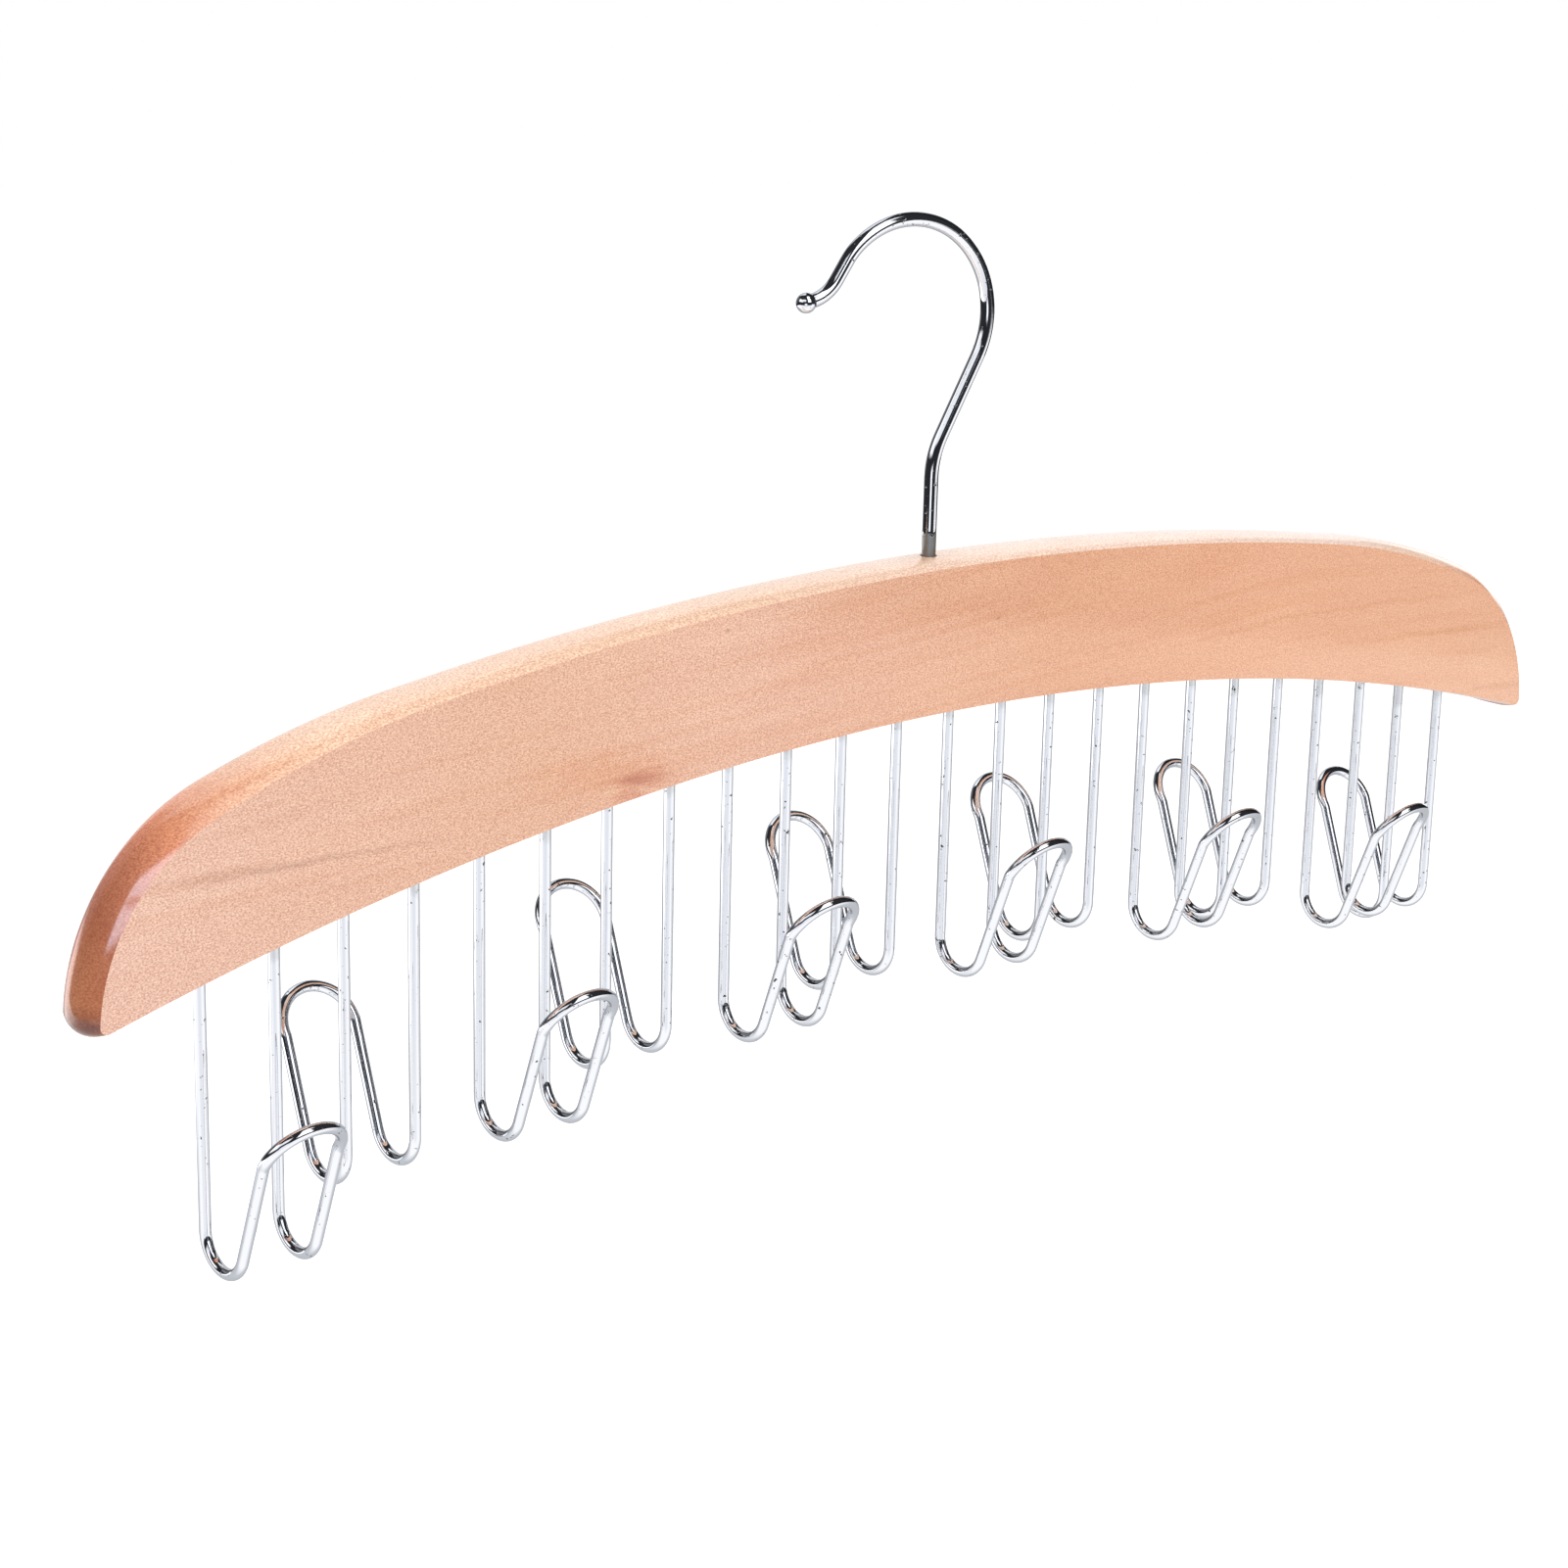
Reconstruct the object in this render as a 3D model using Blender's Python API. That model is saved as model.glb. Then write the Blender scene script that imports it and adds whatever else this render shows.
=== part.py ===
"""A wooden belt hanger: an arched bar, a swivelling wire hook and a row of twelve wire belt hooks.

Metres, +Z up. X runs along the bar and -Y is its front. The origin lies on the swivel axis,
on the inside of the big hook, where the closet rod carries the hanger.
"""

import math

import bmesh
import bpy
from mathutils import Matrix, Vector

MM = 0.001

# The wooden bar. Its flat faces are outlines of arcs, and the surface between them is crowned, more
# at the ends than along the top. The face span is where the front's end arcs would stand upright,
# without the fillets at the tips. The back's end arcs begin sooner, which rounds the back edge of
# each end.
FACE_SPAN = 400.2 * MM
BAR_THICKNESS = 14.4 * MM
FACE_HEIGHT = 30.5 * MM
TOP_RADIUS = 859 * MM
SHOULDER_RADIUS = 200.5 * MM
END_RADIUS = 38.6 * MM
FRONT_START_ANGLE = math.radians(23.4)
BACK_START_ANGLE = math.radians(21.1)
UNDERSIDE_RADIUS = 729 * MM
FRONT_FILLET = 1.5 * MM
BACK_FILLET = 3.3 * MM
TOP_CROWN = 1.5 * MM
END_CROWN = 3.1 * MM
UNDERSIDE_CROWN = 0.5 * MM
CROWN_POWER = 3
BACK_POWER = 4
EDGE_ANGLES = [math.radians(angle) for angle in (0, 20, 40, 62, 90, 118, 138, 156, 170, 180)]
TOP_STEPS = 16
SHOULDER_STEPS = 7
END_STEPS = 12
FILLET_STEPS = 5
UNDERSIDE_STEPS = 25

# The big hook: a straight stem, a neck that leans out, the round eye and a curled tip with a ball.
HOOK_WIRE = 3.0 * MM
STEM_RISE = 16.3 * MM
NECK_RADIUS = 18.2 * MM
NECK_ANGLE = math.radians(27.7)
NECK_RUN = 17.8 * MM
EYE_RADIUS = 19.5 * MM
EYE_SWEEP = math.radians(158.5)
MOUTH_RADIUS = 14.2 * MM
MOUTH_SWEEP = math.radians(16)
TIP_RUN = 4.4 * MM
CURL_RADIUS = 9.1 * MM
CURL_SWEEP = math.radians(44)
BALL_RADIUS = 2.1 * MM
HOOK_REST_TURN = math.radians(-9)

# What holds the stem in the bar: a washer and a nut in a counterbore under the bar.
COUNTERBORE_RADIUS = 4.8 * MM
COUNTERBORE_DEPTH = 8.0 * MM
WASHER_RADIUS = 4.2 * MM
WASHER_THICKNESS = 0.8 * MM
NUT_ACROSS_FLATS = 5.5 * MM
NUT_HEIGHT = 2.4 * MM
THREAD_TAIL = 1.0 * MM

# The belt hooks: one bent wire each, two legs up in blind holes and two arms joined by an arch.
HOOK_PAIRS = 6
HOOK_PITCH = 30.6 * MM
BELT_WIRE = 2.3 * MM
LEG_SPACING = 15.6 * MM
LEG_DEPTH = 14 * MM
LEG_DROP = 57.7 * MM
BEND_DIAMETER = 12.9 * MM
ARM_RUN = 21.0 * MM
ARM_LEAN = math.radians(20)
KINK_RADIUS = 4.0 * MM
ARCH_TILT = math.radians(35)

# Clearances and facets.
CLEARANCE = 0.3 * MM
OVERRUN = 3.0 * MM
HOLE_SIDES = 12
ROUND_SIDES = 24
HEX_SIDES = 6
HOOK_BEVEL_STEPS = 4
BELT_BEVEL_STEPS = 2
ARC_STEP_ANGLE = math.radians(12)
BEND_STEPS = 9
KINK_STEPS = 2
ARCH_STEPS = 12
BALL_STEPS = 5
BALL_END_ANGLE = math.radians(170)
SHARP_ANGLE = math.radians(30)


def clear_scene():
    for thing in list(bpy.data.objects):
        bpy.data.objects.remove(thing, do_unlink=True)


def new_material(name, colour, roughness, metallic):
    material = bpy.data.materials.new(name)
    material.use_nodes = True
    shader = material.node_tree.nodes["Principled BSDF"]
    shader.inputs["Base Color"].default_value = (*colour, 1.0)
    shader.inputs["Roughness"].default_value = roughness
    shader.inputs["Metallic"].default_value = metallic
    return material


def add_object(name, data, material, parent):
    thing = bpy.data.objects.new(name, data)
    bpy.context.scene.collection.objects.link(thing)
    if material and not data.materials:
        data.materials.append(material)
    thing.parent = parent
    return thing


# Places worked out from the sizes


def eye_centre():
    """Centre of the eye in the hook's own plane, from where the stem leaves the bar."""
    lean_out = NECK_RADIUS * (1 - math.cos(NECK_ANGLE)) + NECK_RUN * math.sin(NECK_ANGLE)
    rise = STEM_RISE + NECK_RADIUS * math.sin(NECK_ANGLE) + NECK_RUN * math.cos(NECK_ANGLE)
    across = lean_out - EYE_RADIUS * math.cos(NECK_ANGLE)
    return Vector((across, rise + EYE_RADIUS * math.sin(NECK_ANGLE)))


def seat_height():
    """Height above the bar at which the swivel axis meets the inside of the eye."""
    centre = eye_centre()
    inside = EYE_RADIUS - HOOK_WIRE / 2
    return centre.y + math.sqrt(inside ** 2 - centre.x ** 2)


BAR_TOP_Z = -seat_height()
FACE_TOP_Z = BAR_TOP_Z - TOP_CROWN
FACE_BOTTOM_Z = FACE_TOP_Z - FACE_HEIGHT
UNDERSIDE_Z = FACE_BOTTOM_Z - UNDERSIDE_CROWN
COUNTERBORE_TOP_Z = UNDERSIDE_Z + COUNTERBORE_DEPTH
WASHER_Z = COUNTERBORE_TOP_Z - CLEARANCE - WASHER_THICKNESS
NUT_Z = WASHER_Z - CLEARANCE - NUT_HEIGHT
STEM_END_Z = NUT_Z - THREAD_TAIL


def underside_at(x):
    """Height of the wood's underside at mid-thickness, x from the middle of the bar."""
    radius = UNDERSIDE_RADIUS - UNDERSIDE_CROWN
    return UNDERSIDE_Z - radius + math.sqrt(radius ** 2 - x ** 2)


def belt_hook_places():
    """The x of each belt hook, from the left end of the row."""
    count = 2 * HOOK_PAIRS
    return [(index - (count - 1) / 2) * HOOK_PITCH for index in range(count)]


# The bar


def arc_run(centre, radius, start, stop, steps, crown_start, crown_stop, side=1):
    """Points along an arc as (point, outward normal, crown), angles from +X. Side -1 is a hollow arc."""
    run = []
    for index in range(steps + 1):
        share = index / steps
        angle = start + (stop - start) * share
        spoke = Vector((math.cos(angle), math.sin(angle)))
        crown = crown_start + (crown_stop - crown_start) * share
        run.append((centre + spoke * radius, spoke * side, crown))
    return run


def circle_meeting(centre_a, radius_a, centre_b, radius_b):
    """The meeting point with the larger x of two circles."""
    between = centre_b - centre_a
    apart = between.length
    along = (radius_a ** 2 - radius_b ** 2 + apart ** 2) / (2 * apart)
    across = math.sqrt(radius_a ** 2 - along ** 2)
    unit = between / apart
    foot = centre_a + unit * along
    side = Vector((-unit.y, unit.x)) * across
    return max(foot + side, foot - side, key=lambda point: point.x)


def bearing(vector):
    return math.atan2(vector.y, vector.x)


def top_sweep():
    """Half the angle of the long top arc, from the span of the front face."""
    end_sine = math.sin(FRONT_START_ANGLE)
    reach = FACE_SPAN / 2 - SHOULDER_RADIUS * end_sine - END_RADIUS * (1 - end_sine)
    return math.asin(reach / (TOP_RADIUS - SHOULDER_RADIUS))


def half_outline(start_angle, fillet):
    """The right half of a face's outline, from the top's middle round the tip to the underside's."""
    upright = math.pi / 2
    top_stop = upright - top_sweep()
    end_start = upright - start_angle
    top_centre = Vector((0, FACE_TOP_Z - TOP_RADIUS))
    lean = Vector((math.cos(top_stop), math.sin(top_stop)))
    shoulder_centre = top_centre + lean * (TOP_RADIUS - SHOULDER_RADIUS)
    lean = Vector((math.cos(end_start), math.sin(end_start)))
    end_centre = shoulder_centre + lean * (SHOULDER_RADIUS - END_RADIUS)
    under_centre = Vector((0, FACE_BOTTOM_Z - UNDERSIDE_RADIUS))
    fillet_centre = circle_meeting(end_centre, END_RADIUS - fillet, under_centre, UNDERSIDE_RADIUS + fillet)
    end_stop = bearing(fillet_centre - end_centre)
    under_start = bearing(fillet_centre - under_centre)

    top = TOP_CROWN
    end = END_CROWN
    under = UNDERSIDE_CROWN
    runs = [
        arc_run(top_centre, TOP_RADIUS, upright, top_stop, TOP_STEPS, top, top),
        arc_run(shoulder_centre, SHOULDER_RADIUS, top_stop, end_start, SHOULDER_STEPS, top, end),
        arc_run(end_centre, END_RADIUS, end_start, end_stop, END_STEPS, end, end),
        arc_run(fillet_centre, fillet, end_stop, under_start - math.pi, FILLET_STEPS, end, under),
        arc_run(under_centre, UNDERSIDE_RADIUS, under_start, upright, UNDERSIDE_STEPS, under, under, -1),
    ]
    outline = list(runs[0])
    for run in runs[1:]:
        outline += run[1:]
    return outline


def full_outline(start_angle, fillet):
    right = half_outline(start_angle, fillet)
    left = []
    for point, normal, crown in reversed(right[1:-1]):
        left.append((Vector((-point.x, point.y)), Vector((-normal.x, normal.y)), crown))
    return right + left


def edge_layer(angle):
    """Depth from mid-thickness, share of the crown and share of the back's outline, for one layer."""
    depth = -math.cos(angle)
    back_share = ((1 + depth) / 2) ** BACK_POWER
    return depth * BAR_THICKNESS / 2, 1 - abs(depth) ** CROWN_POWER, back_share


def build_bar(material, parent):
    front = full_outline(FRONT_START_ANGLE, FRONT_FILLET)
    back = full_outline(BACK_START_ANGLE, BACK_FILLET)
    mesh = bpy.data.meshes.new("hanger_bar")
    shape = bmesh.new()
    loops = []
    for angle in EDGE_ANGLES:
        depth, crown_share, back_share = edge_layer(angle)
        ring = []
        for (point, normal, crown), (back_point, _, _) in zip(front, back):
            place = point.lerp(back_point, back_share) + normal * crown * crown_share
            ring.append(shape.verts.new((place.x, depth, place.y)))
        loops.append(ring)
    count = len(front)
    for near, far in zip(loops, loops[1:]):
        for index in range(count):
            after = (index + 1) % count
            shape.faces.new((near[index], near[after], far[after], far[index]))
    shape.faces.new(loops[0][::-1])
    shape.faces.new(loops[-1])
    bmesh.ops.recalc_face_normals(shape, faces=shape.faces)
    shape.to_mesh(mesh)
    shape.free()
    mesh.shade_smooth()
    mesh.set_sharp_from_angle(angle=SHARP_ANGLE)
    bar = add_object("hanger_bar", mesh, material, parent)
    cut(bar, build_leg_cutter())
    cut(bar, build_cylinder_cutter("stem_hole_cutter", HOOK_WIRE / 2 + CLEARANCE, UNDERSIDE_Z, BAR_TOP_Z))
    cut(bar, build_cylinder_cutter("counterbore_cutter", COUNTERBORE_RADIUS, UNDERSIDE_Z, COUNTERBORE_TOP_Z, 0))
    return bar


def add_cylinder(shape, x, bottom, top, radius, sides):
    """An upright cylinder, turned half a side so that none of its corners lies on a mid line."""
    place = Matrix.Translation((x, 0, (bottom + top) / 2)) @ Matrix.Rotation(math.pi / sides, 4, "Z")
    bmesh.ops.create_cone(
        shape, cap_ends=True, segments=sides, radius1=radius, radius2=radius,
        depth=top - bottom, matrix=place,
    )


def add_cutter(name, shape):
    mesh = bpy.data.meshes.new(name)
    shape.to_mesh(mesh)
    shape.free()
    cutter = add_object(name, mesh, None, None)
    cutter.hide_render = True
    cutter.display_type = "WIRE"
    return cutter


def build_leg_cutter():
    """Two blind holes for each belt hook."""
    shape = bmesh.new()
    radius = BELT_WIRE / 2 + CLEARANCE
    for middle in belt_hook_places():
        mouth = underside_at(middle)
        for side in (-1, 1):
            x = middle + side * LEG_SPACING / 2
            top = mouth + LEG_DEPTH + CLEARANCE
            add_cylinder(shape, x, mouth - OVERRUN, top, radius, HOLE_SIDES)
    return add_cutter("leg_hole_cutter", shape)


def build_cylinder_cutter(name, radius, bottom, top, top_overrun=OVERRUN):
    shape = bmesh.new()
    add_cylinder(shape, 0, bottom - OVERRUN, top + top_overrun, radius, ROUND_SIDES)
    return add_cutter(name, shape)


def cut(thing, cutter):
    boolean = thing.modifiers.new(cutter.name, "BOOLEAN")
    boolean.operation = "DIFFERENCE"
    boolean.solver = "EXACT"
    boolean.object = cutter


# Wires


def wire_curve(name, points, radius, bevel_steps):
    """A round wire along (point, swell) pairs, where swell widens it."""
    curve = bpy.data.curves.new(name, "CURVE")
    curve.dimensions = "3D"
    curve.bevel_depth = radius
    curve.bevel_resolution = bevel_steps
    curve.use_fill_caps = True
    spline = curve.splines.new("POLY")
    spline.points.add(len(points) - 1)
    for slot, (point, swell) in zip(spline.points, points):
        slot.co = point.to_4d()
        slot.radius = swell
    spline.use_smooth = True
    return curve


class Path:
    """A path drawn in a plane by straight runs and arcs, heading measured from straight up."""

    def __init__(self, across, height):
        self.place = Vector((across, height))
        self.heading = 0.0
        self.points = [self.place.copy()]

    def ahead(self, length):
        step = Vector((math.sin(self.heading), math.cos(self.heading)))
        self.place = self.place + step * length
        self.points.append(self.place.copy())

    def turn(self, radius, angle):
        """An arc that turns by angle, clockwise where angle is positive."""
        count = max(1, math.ceil(abs(angle) / ARC_STEP_ANGLE))
        step = angle / count
        chord = 2 * radius * math.sin(abs(step) / 2)
        for _ in range(count):
            self.heading += step / 2
            self.ahead(chord)
            self.heading += step / 2


def big_hook_points():
    path = Path(0, STEM_END_Z)
    path.ahead(BAR_TOP_Z + STEM_RISE - STEM_END_Z)
    path.turn(NECK_RADIUS, NECK_ANGLE)
    path.ahead(NECK_RUN)
    path.turn(EYE_RADIUS, -EYE_SWEEP)
    path.turn(MOUTH_RADIUS, -MOUTH_SWEEP)
    path.ahead(TIP_RUN)
    path.turn(CURL_RADIUS, CURL_SWEEP)
    points = [(point, 1.0) for point in path.points]
    wire = HOOK_WIRE / 2
    start = math.asin(wire / BALL_RADIUS)
    reach = BALL_RADIUS * math.cos(start)
    last = path.place
    heading = Vector((math.sin(path.heading), math.cos(path.heading)))
    for index in range(1, BALL_STEPS + 1):
        angle = start + (BALL_END_ANGLE - start) * index / BALL_STEPS
        along = reach - BALL_RADIUS * math.cos(angle)
        points.append((last + heading * along, BALL_RADIUS * math.sin(angle) / wire))
    return [(Vector((point.x, 0, point.y)), swell) for point, swell in points]


def build_big_hook(material):
    curve = wire_curve("swivel_hook", big_hook_points(), HOOK_WIRE / 2, HOOK_BEVEL_STEPS)
    hook = add_object("swivel_hook", curve, material, None)
    hook.rotation_euler = (0, 0, HOOK_REST_TURN)
    return hook


def belt_side_points():
    """Leg, bend, arm and kink of a front belt hook, as (y, z) from its mouth in the wood."""
    bend = BEND_DIAMETER / 2
    low = -LEG_DROP + bend
    side = [Vector((0, LEG_DEPTH)), Vector((0, low))]
    sweep = math.pi - ARM_LEAN
    for index in range(1, BEND_STEPS + 1):
        angle = sweep * index / BEND_STEPS
        side.append(Vector((-bend + bend * math.cos(angle), low - bend * math.sin(angle))))
    lean = Vector((-math.sin(ARM_LEAN), math.cos(ARM_LEAN)))
    side.append(side[-1] + lean * ARM_RUN)
    turn = (ARCH_TILT - ARM_LEAN) / KINK_STEPS
    chord = 2 * KINK_RADIUS * math.sin(turn / 2)
    for index in range(KINK_STEPS):
        angle = ARM_LEAN + turn * (index + 0.5)
        side.append(side[-1] + Vector((-math.sin(angle), math.cos(angle))) * chord)
    return side


def belt_hook_points():
    side = belt_side_points()
    reach = LEG_SPACING / 2
    points = [Vector((-reach, place.x, place.y)) for place in side]
    base = Vector((0, side[-1].x, side[-1].y))
    outward = Vector((0, -math.sin(ARCH_TILT), math.cos(ARCH_TILT)))
    for index in range(1, ARCH_STEPS):
        angle = math.pi * index / ARCH_STEPS
        across = Vector((-math.cos(angle) * reach, 0, 0))
        points.append(base + across + outward * math.sin(angle) * reach)
    points += [Vector((reach, place.x, place.y)) for place in reversed(side)]
    return [(point, 1.0) for point in points]


def build_belt_hooks(material, parent):
    """Front and rear hooks take turns along the row. A rear hook is a front one turned round."""
    curve = wire_curve("belt_hook", belt_hook_points(), BELT_WIRE / 2, BELT_BEVEL_STEPS)
    for index, x in enumerate(belt_hook_places()):
        side = "rear" if index % 2 else "front"
        hook = add_object(f"belt_hook_{side}_{index // 2 + 1}", curve, material, parent)
        hook.matrix_world = Matrix.Translation((x, 0, underside_at(x)))
        if side == "rear":
            hook.matrix_world = hook.matrix_world @ Matrix.Rotation(math.pi, 4, "Z")


# The washer and the nut under the stem


def build_fixing(name, material, bottom, height, radius, sides):
    """A disc or hexagon round the stem, bored by the cutter of the stem's hole."""
    shape = bmesh.new()
    add_cylinder(shape, 0, bottom, bottom + height, radius, sides)
    mesh = bpy.data.meshes.new(name)
    shape.to_mesh(mesh)
    shape.free()
    fixing = add_object(name, mesh, material, None)
    cut(fixing, bpy.data.objects["stem_hole_cutter"])


def build_stem_fixings(material):
    corner_radius = NUT_ACROSS_FLATS / 2 / math.cos(math.pi / HEX_SIDES)
    build_fixing("stem_washer", material, WASHER_Z, WASHER_THICKNESS, WASHER_RADIUS, ROUND_SIDES)
    build_fixing("stem_nut", material, NUT_Z, NUT_HEIGHT, corner_radius, HEX_SIDES)


def main():
    clear_scene()
    wood = new_material("lacquered_maple", (0.84, 0.50, 0.34), 0.35, 0.0)
    chrome = new_material("bright_chrome", (0.8, 0.8, 0.82), 0.08, 1.0)
    zinc = new_material("zinc_plated_steel", (0.6, 0.6, 0.58), 0.35, 1.0)
    bar_group = bpy.data.objects.new("bar_on_its_swivel_axis", None)
    bpy.context.scene.collection.objects.link(bar_group)
    build_bar(wood, bar_group)
    build_belt_hooks(chrome, bar_group)
    build_big_hook(chrome)
    build_stem_fixings(zinc)


main()
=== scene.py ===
"""Looks of the wooden belt hanger: finer pieces, their materials, a plain pale studio and the camera.

Metres, +Z up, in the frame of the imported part. X runs along the bar and -Y is its front.
"""

import math

import bmesh
import bpy
from mathutils import Matrix, Vector


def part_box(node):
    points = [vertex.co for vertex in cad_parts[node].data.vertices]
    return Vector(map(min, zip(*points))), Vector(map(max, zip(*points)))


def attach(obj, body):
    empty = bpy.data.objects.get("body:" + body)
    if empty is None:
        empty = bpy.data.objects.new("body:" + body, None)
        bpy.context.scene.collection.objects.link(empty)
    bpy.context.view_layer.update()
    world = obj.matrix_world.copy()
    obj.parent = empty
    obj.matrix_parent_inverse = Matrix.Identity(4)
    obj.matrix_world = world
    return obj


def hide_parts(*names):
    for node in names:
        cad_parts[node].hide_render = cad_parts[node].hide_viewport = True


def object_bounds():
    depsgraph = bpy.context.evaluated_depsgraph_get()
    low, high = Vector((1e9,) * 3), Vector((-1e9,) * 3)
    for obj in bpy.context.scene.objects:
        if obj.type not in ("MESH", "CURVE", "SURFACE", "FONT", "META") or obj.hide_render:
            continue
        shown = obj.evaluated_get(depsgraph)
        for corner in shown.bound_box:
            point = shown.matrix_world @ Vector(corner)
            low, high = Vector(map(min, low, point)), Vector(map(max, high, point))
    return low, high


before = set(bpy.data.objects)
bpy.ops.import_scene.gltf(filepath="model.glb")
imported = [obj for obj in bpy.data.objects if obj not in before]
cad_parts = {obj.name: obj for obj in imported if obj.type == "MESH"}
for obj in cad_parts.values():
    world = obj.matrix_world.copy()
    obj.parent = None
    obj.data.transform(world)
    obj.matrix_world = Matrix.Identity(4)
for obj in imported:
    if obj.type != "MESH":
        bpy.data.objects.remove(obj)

CAD_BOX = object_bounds()
MM = 0.001

# The bar, as in the part's source. What isn't given here is read from the frame.
FACE_SPAN = 400.2 * MM
FACE_HEIGHT = 30.5 * MM
TOP_RADIUS = 859 * MM
SHOULDER_RADIUS = 200.5 * MM
END_RADIUS = 38.6 * MM
FRONT_START_ANGLE = math.radians(23.4)
BACK_START_ANGLE = math.radians(21.1)
UNDERSIDE_RADIUS = 729 * MM
FRONT_FILLET = 1.5 * MM
BACK_FILLET = 3.3 * MM
TOP_CROWN = 1.5 * MM
END_CROWN = 3.1 * MM
UNDERSIDE_CROWN = 0.5 * MM
CROWN_POWER = 3
BACK_POWER = 4
EDGE_LAYERS = 26
TOP_STEPS = 86
SHOULDER_STEPS = 35
END_STEPS = 32
FILLET_STEPS = 12
UNDERSIDE_STEPS = 134

# The big hook, as in the part's source.
HOOK_WIRE = 3.0 * MM
STEM_RISE = 16.3 * MM
NECK_RADIUS = 18.2 * MM
NECK_ANGLE = math.radians(27.7)
NECK_RUN = 17.8 * MM
EYE_RADIUS = 19.5 * MM
EYE_SWEEP = math.radians(158.5)
MOUTH_RADIUS = 14.2 * MM
MOUTH_SWEEP = math.radians(16)
TIP_RUN = 4.4 * MM
CURL_RADIUS = 9.1 * MM
CURL_SWEEP = math.radians(44)
BALL_RADIUS = 2.1 * MM
BALL_END_ANGLE = math.radians(176)
BALL_STEPS = 14
HOOK_REST_TURN = math.radians(-9)

# The stem's washer and nut, and the counterbore that they sit in.
COUNTERBORE_RADIUS = 4.8 * MM
COUNTERBORE_DEPTH = 8.0 * MM
CHAMFER = 0.25 * MM
NUT_ACROSS_FLATS = 5.5 * MM
NUT_CHAMFER_SLOPE = math.radians(30)
HEX_SIDES = 6

# The belt hooks, as in the part's source.
BELT_WIRE = 2.3 * MM
LEG_SPACING = 15.6 * MM
LEG_DEPTH = 14 * MM
LEG_DROP = 57.7 * MM
BEND_DIAMETER = 12.9 * MM
ARM_RUN = 21.0 * MM
ARM_LEAN = math.radians(20)
KINK_RADIUS = 4.0 * MM
ARCH_TILT = math.radians(35)

# Clearances and fineness.
CLEARANCE = 0.3 * MM
OVERRUN = 3.0 * MM
HOLE_SIDES = 32
TURNED_SIDES = 72
HOOK_SIDES = 40
BELT_SIDES = 28
WIRE_TURN_STEP = math.radians(4)
SHARP_ANGLE = math.radians(35)
BAR_SHARP_ANGLE = math.radians(30)

# The photograph's camera, found by fitting the bar and the wires.
CAMERA_LENS = 75.0
CAMERA_SENSOR = 36.0
CAMERA_AZIMUTH = math.radians(-41.786)
CAMERA_ELEVATION = math.radians(15.284)
CAMERA_ROLL = math.radians(1.361)
CAMERA_DISTANCE = 652.1 * MM
CAMERA_AIM = Vector((-45.0 * MM, -7.2 * MM, -106.3 * MM))


def linear(sheet_colour):
    """An sRGB hex colour such as F0C8A0 as linear red, green, blue and alpha."""
    shares = [int(sheet_colour[place:place + 2], 16) / 255 for place in (0, 2, 4)]
    return (*[(s / 12.92 if s <= 0.04045 else ((s + 0.055) / 1.055) ** 2.4) for s in shares], 1.0)


def add_node(tree, kind, settings=None, links=None):
    """Adds a node to tree, with its properties and socket values in settings and its links by socket."""
    node = tree.nodes.new(kind)
    for name, value in (settings or {}).items():
        if isinstance(name, str) and hasattr(node, name):
            setattr(node, name, value)
        else:
            node.inputs[name].default_value = value
    for name, source in (links or {}).items():
        tree.links.new(source, node.inputs[name])
    return node


def new_finish(name):
    """A material with an empty tree, and that tree."""
    material = bpy.data.materials.new(name)
    material.use_nodes = True
    material.node_tree.nodes.clear()
    return material, material.node_tree


def set_stops(ramp, stops):
    """Gives a colour ramp its stops as (place, colour)."""
    while len(ramp.elements) < len(stops):
        ramp.elements.new(1.0)
    for element, (place, colour) in zip(ramp.elements, stops):
        element.position = place
        element.color = colour


# Lacquered maple: sawn, sanded and dipped in a clear satin lacquer. The faces have a peach ground
# with a fine salt-and-pepper speckle, soft clouds and a few long thin streaks. The edge surface is
# paler along the top, which is painted light from above with painted sheen. Its ends are
# orange-brown: end grain that drank more lacquer, darkened further by painted shade.
LACQUERED_WOOD = {"Roughness": 0.55, "IOR": 1.5, "Coat Roughness": 0.07, "Coat IOR": 1.5}

# The ground colour of the faces and of the edge surface, by x in millimetres.
FACE_COLOURS = (
    (-190, linear("E7B8A1")),
    (-110, linear("E5B293")),
    (-50, linear("E9B69B")),
    (30, linear("E8AC88")),
    (100, linear("F1B591")),
    (190, linear("F3BA97")),
)
# The edge surface's colours hold painted light. They are pale along the top from painted light and sheen,
# and dark at the ends, partly end grain and partly painted shade.
EDGE_COLOURS_AND_PAINTED_LIGHT = (
    (-203, linear("B06A41")),
    (-197, linear("A45B3B")),
    (-191, linear("B66C4C")),
    (-184, linear("D2855F")),
    (-172, linear("E4AB8A")),
    (-150, linear("F0C4A6")),
    (-50, linear("F0C7AA")),
    (30, linear("F6D6C2")),
    (130, linear("F8DBCB")),
    (158, linear("F3CFB6")),
    (180, linear("DFA180")),
    (191, linear("B66C4C")),
    (200, linear("A45B3B")),
)
# How far from the middle both reach, in millimetres.
COLOURED_REACH = 205

# How squarely the surface faces front or back, where the edge surface's colour starts and is full.
EDGE_START_FACING = 0.99
EDGE_FULL_FACING = 0.90

# The grain rises towards the right, and from GRAIN_TURN_X on it falls again.
GRAIN_SLOPE = 0.07
GRAIN_TURN_X = 118 * MM
GRAIN_TURN_BACK = 0.13
GRAIN_TURN_BLEND = 30 * MM

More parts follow.
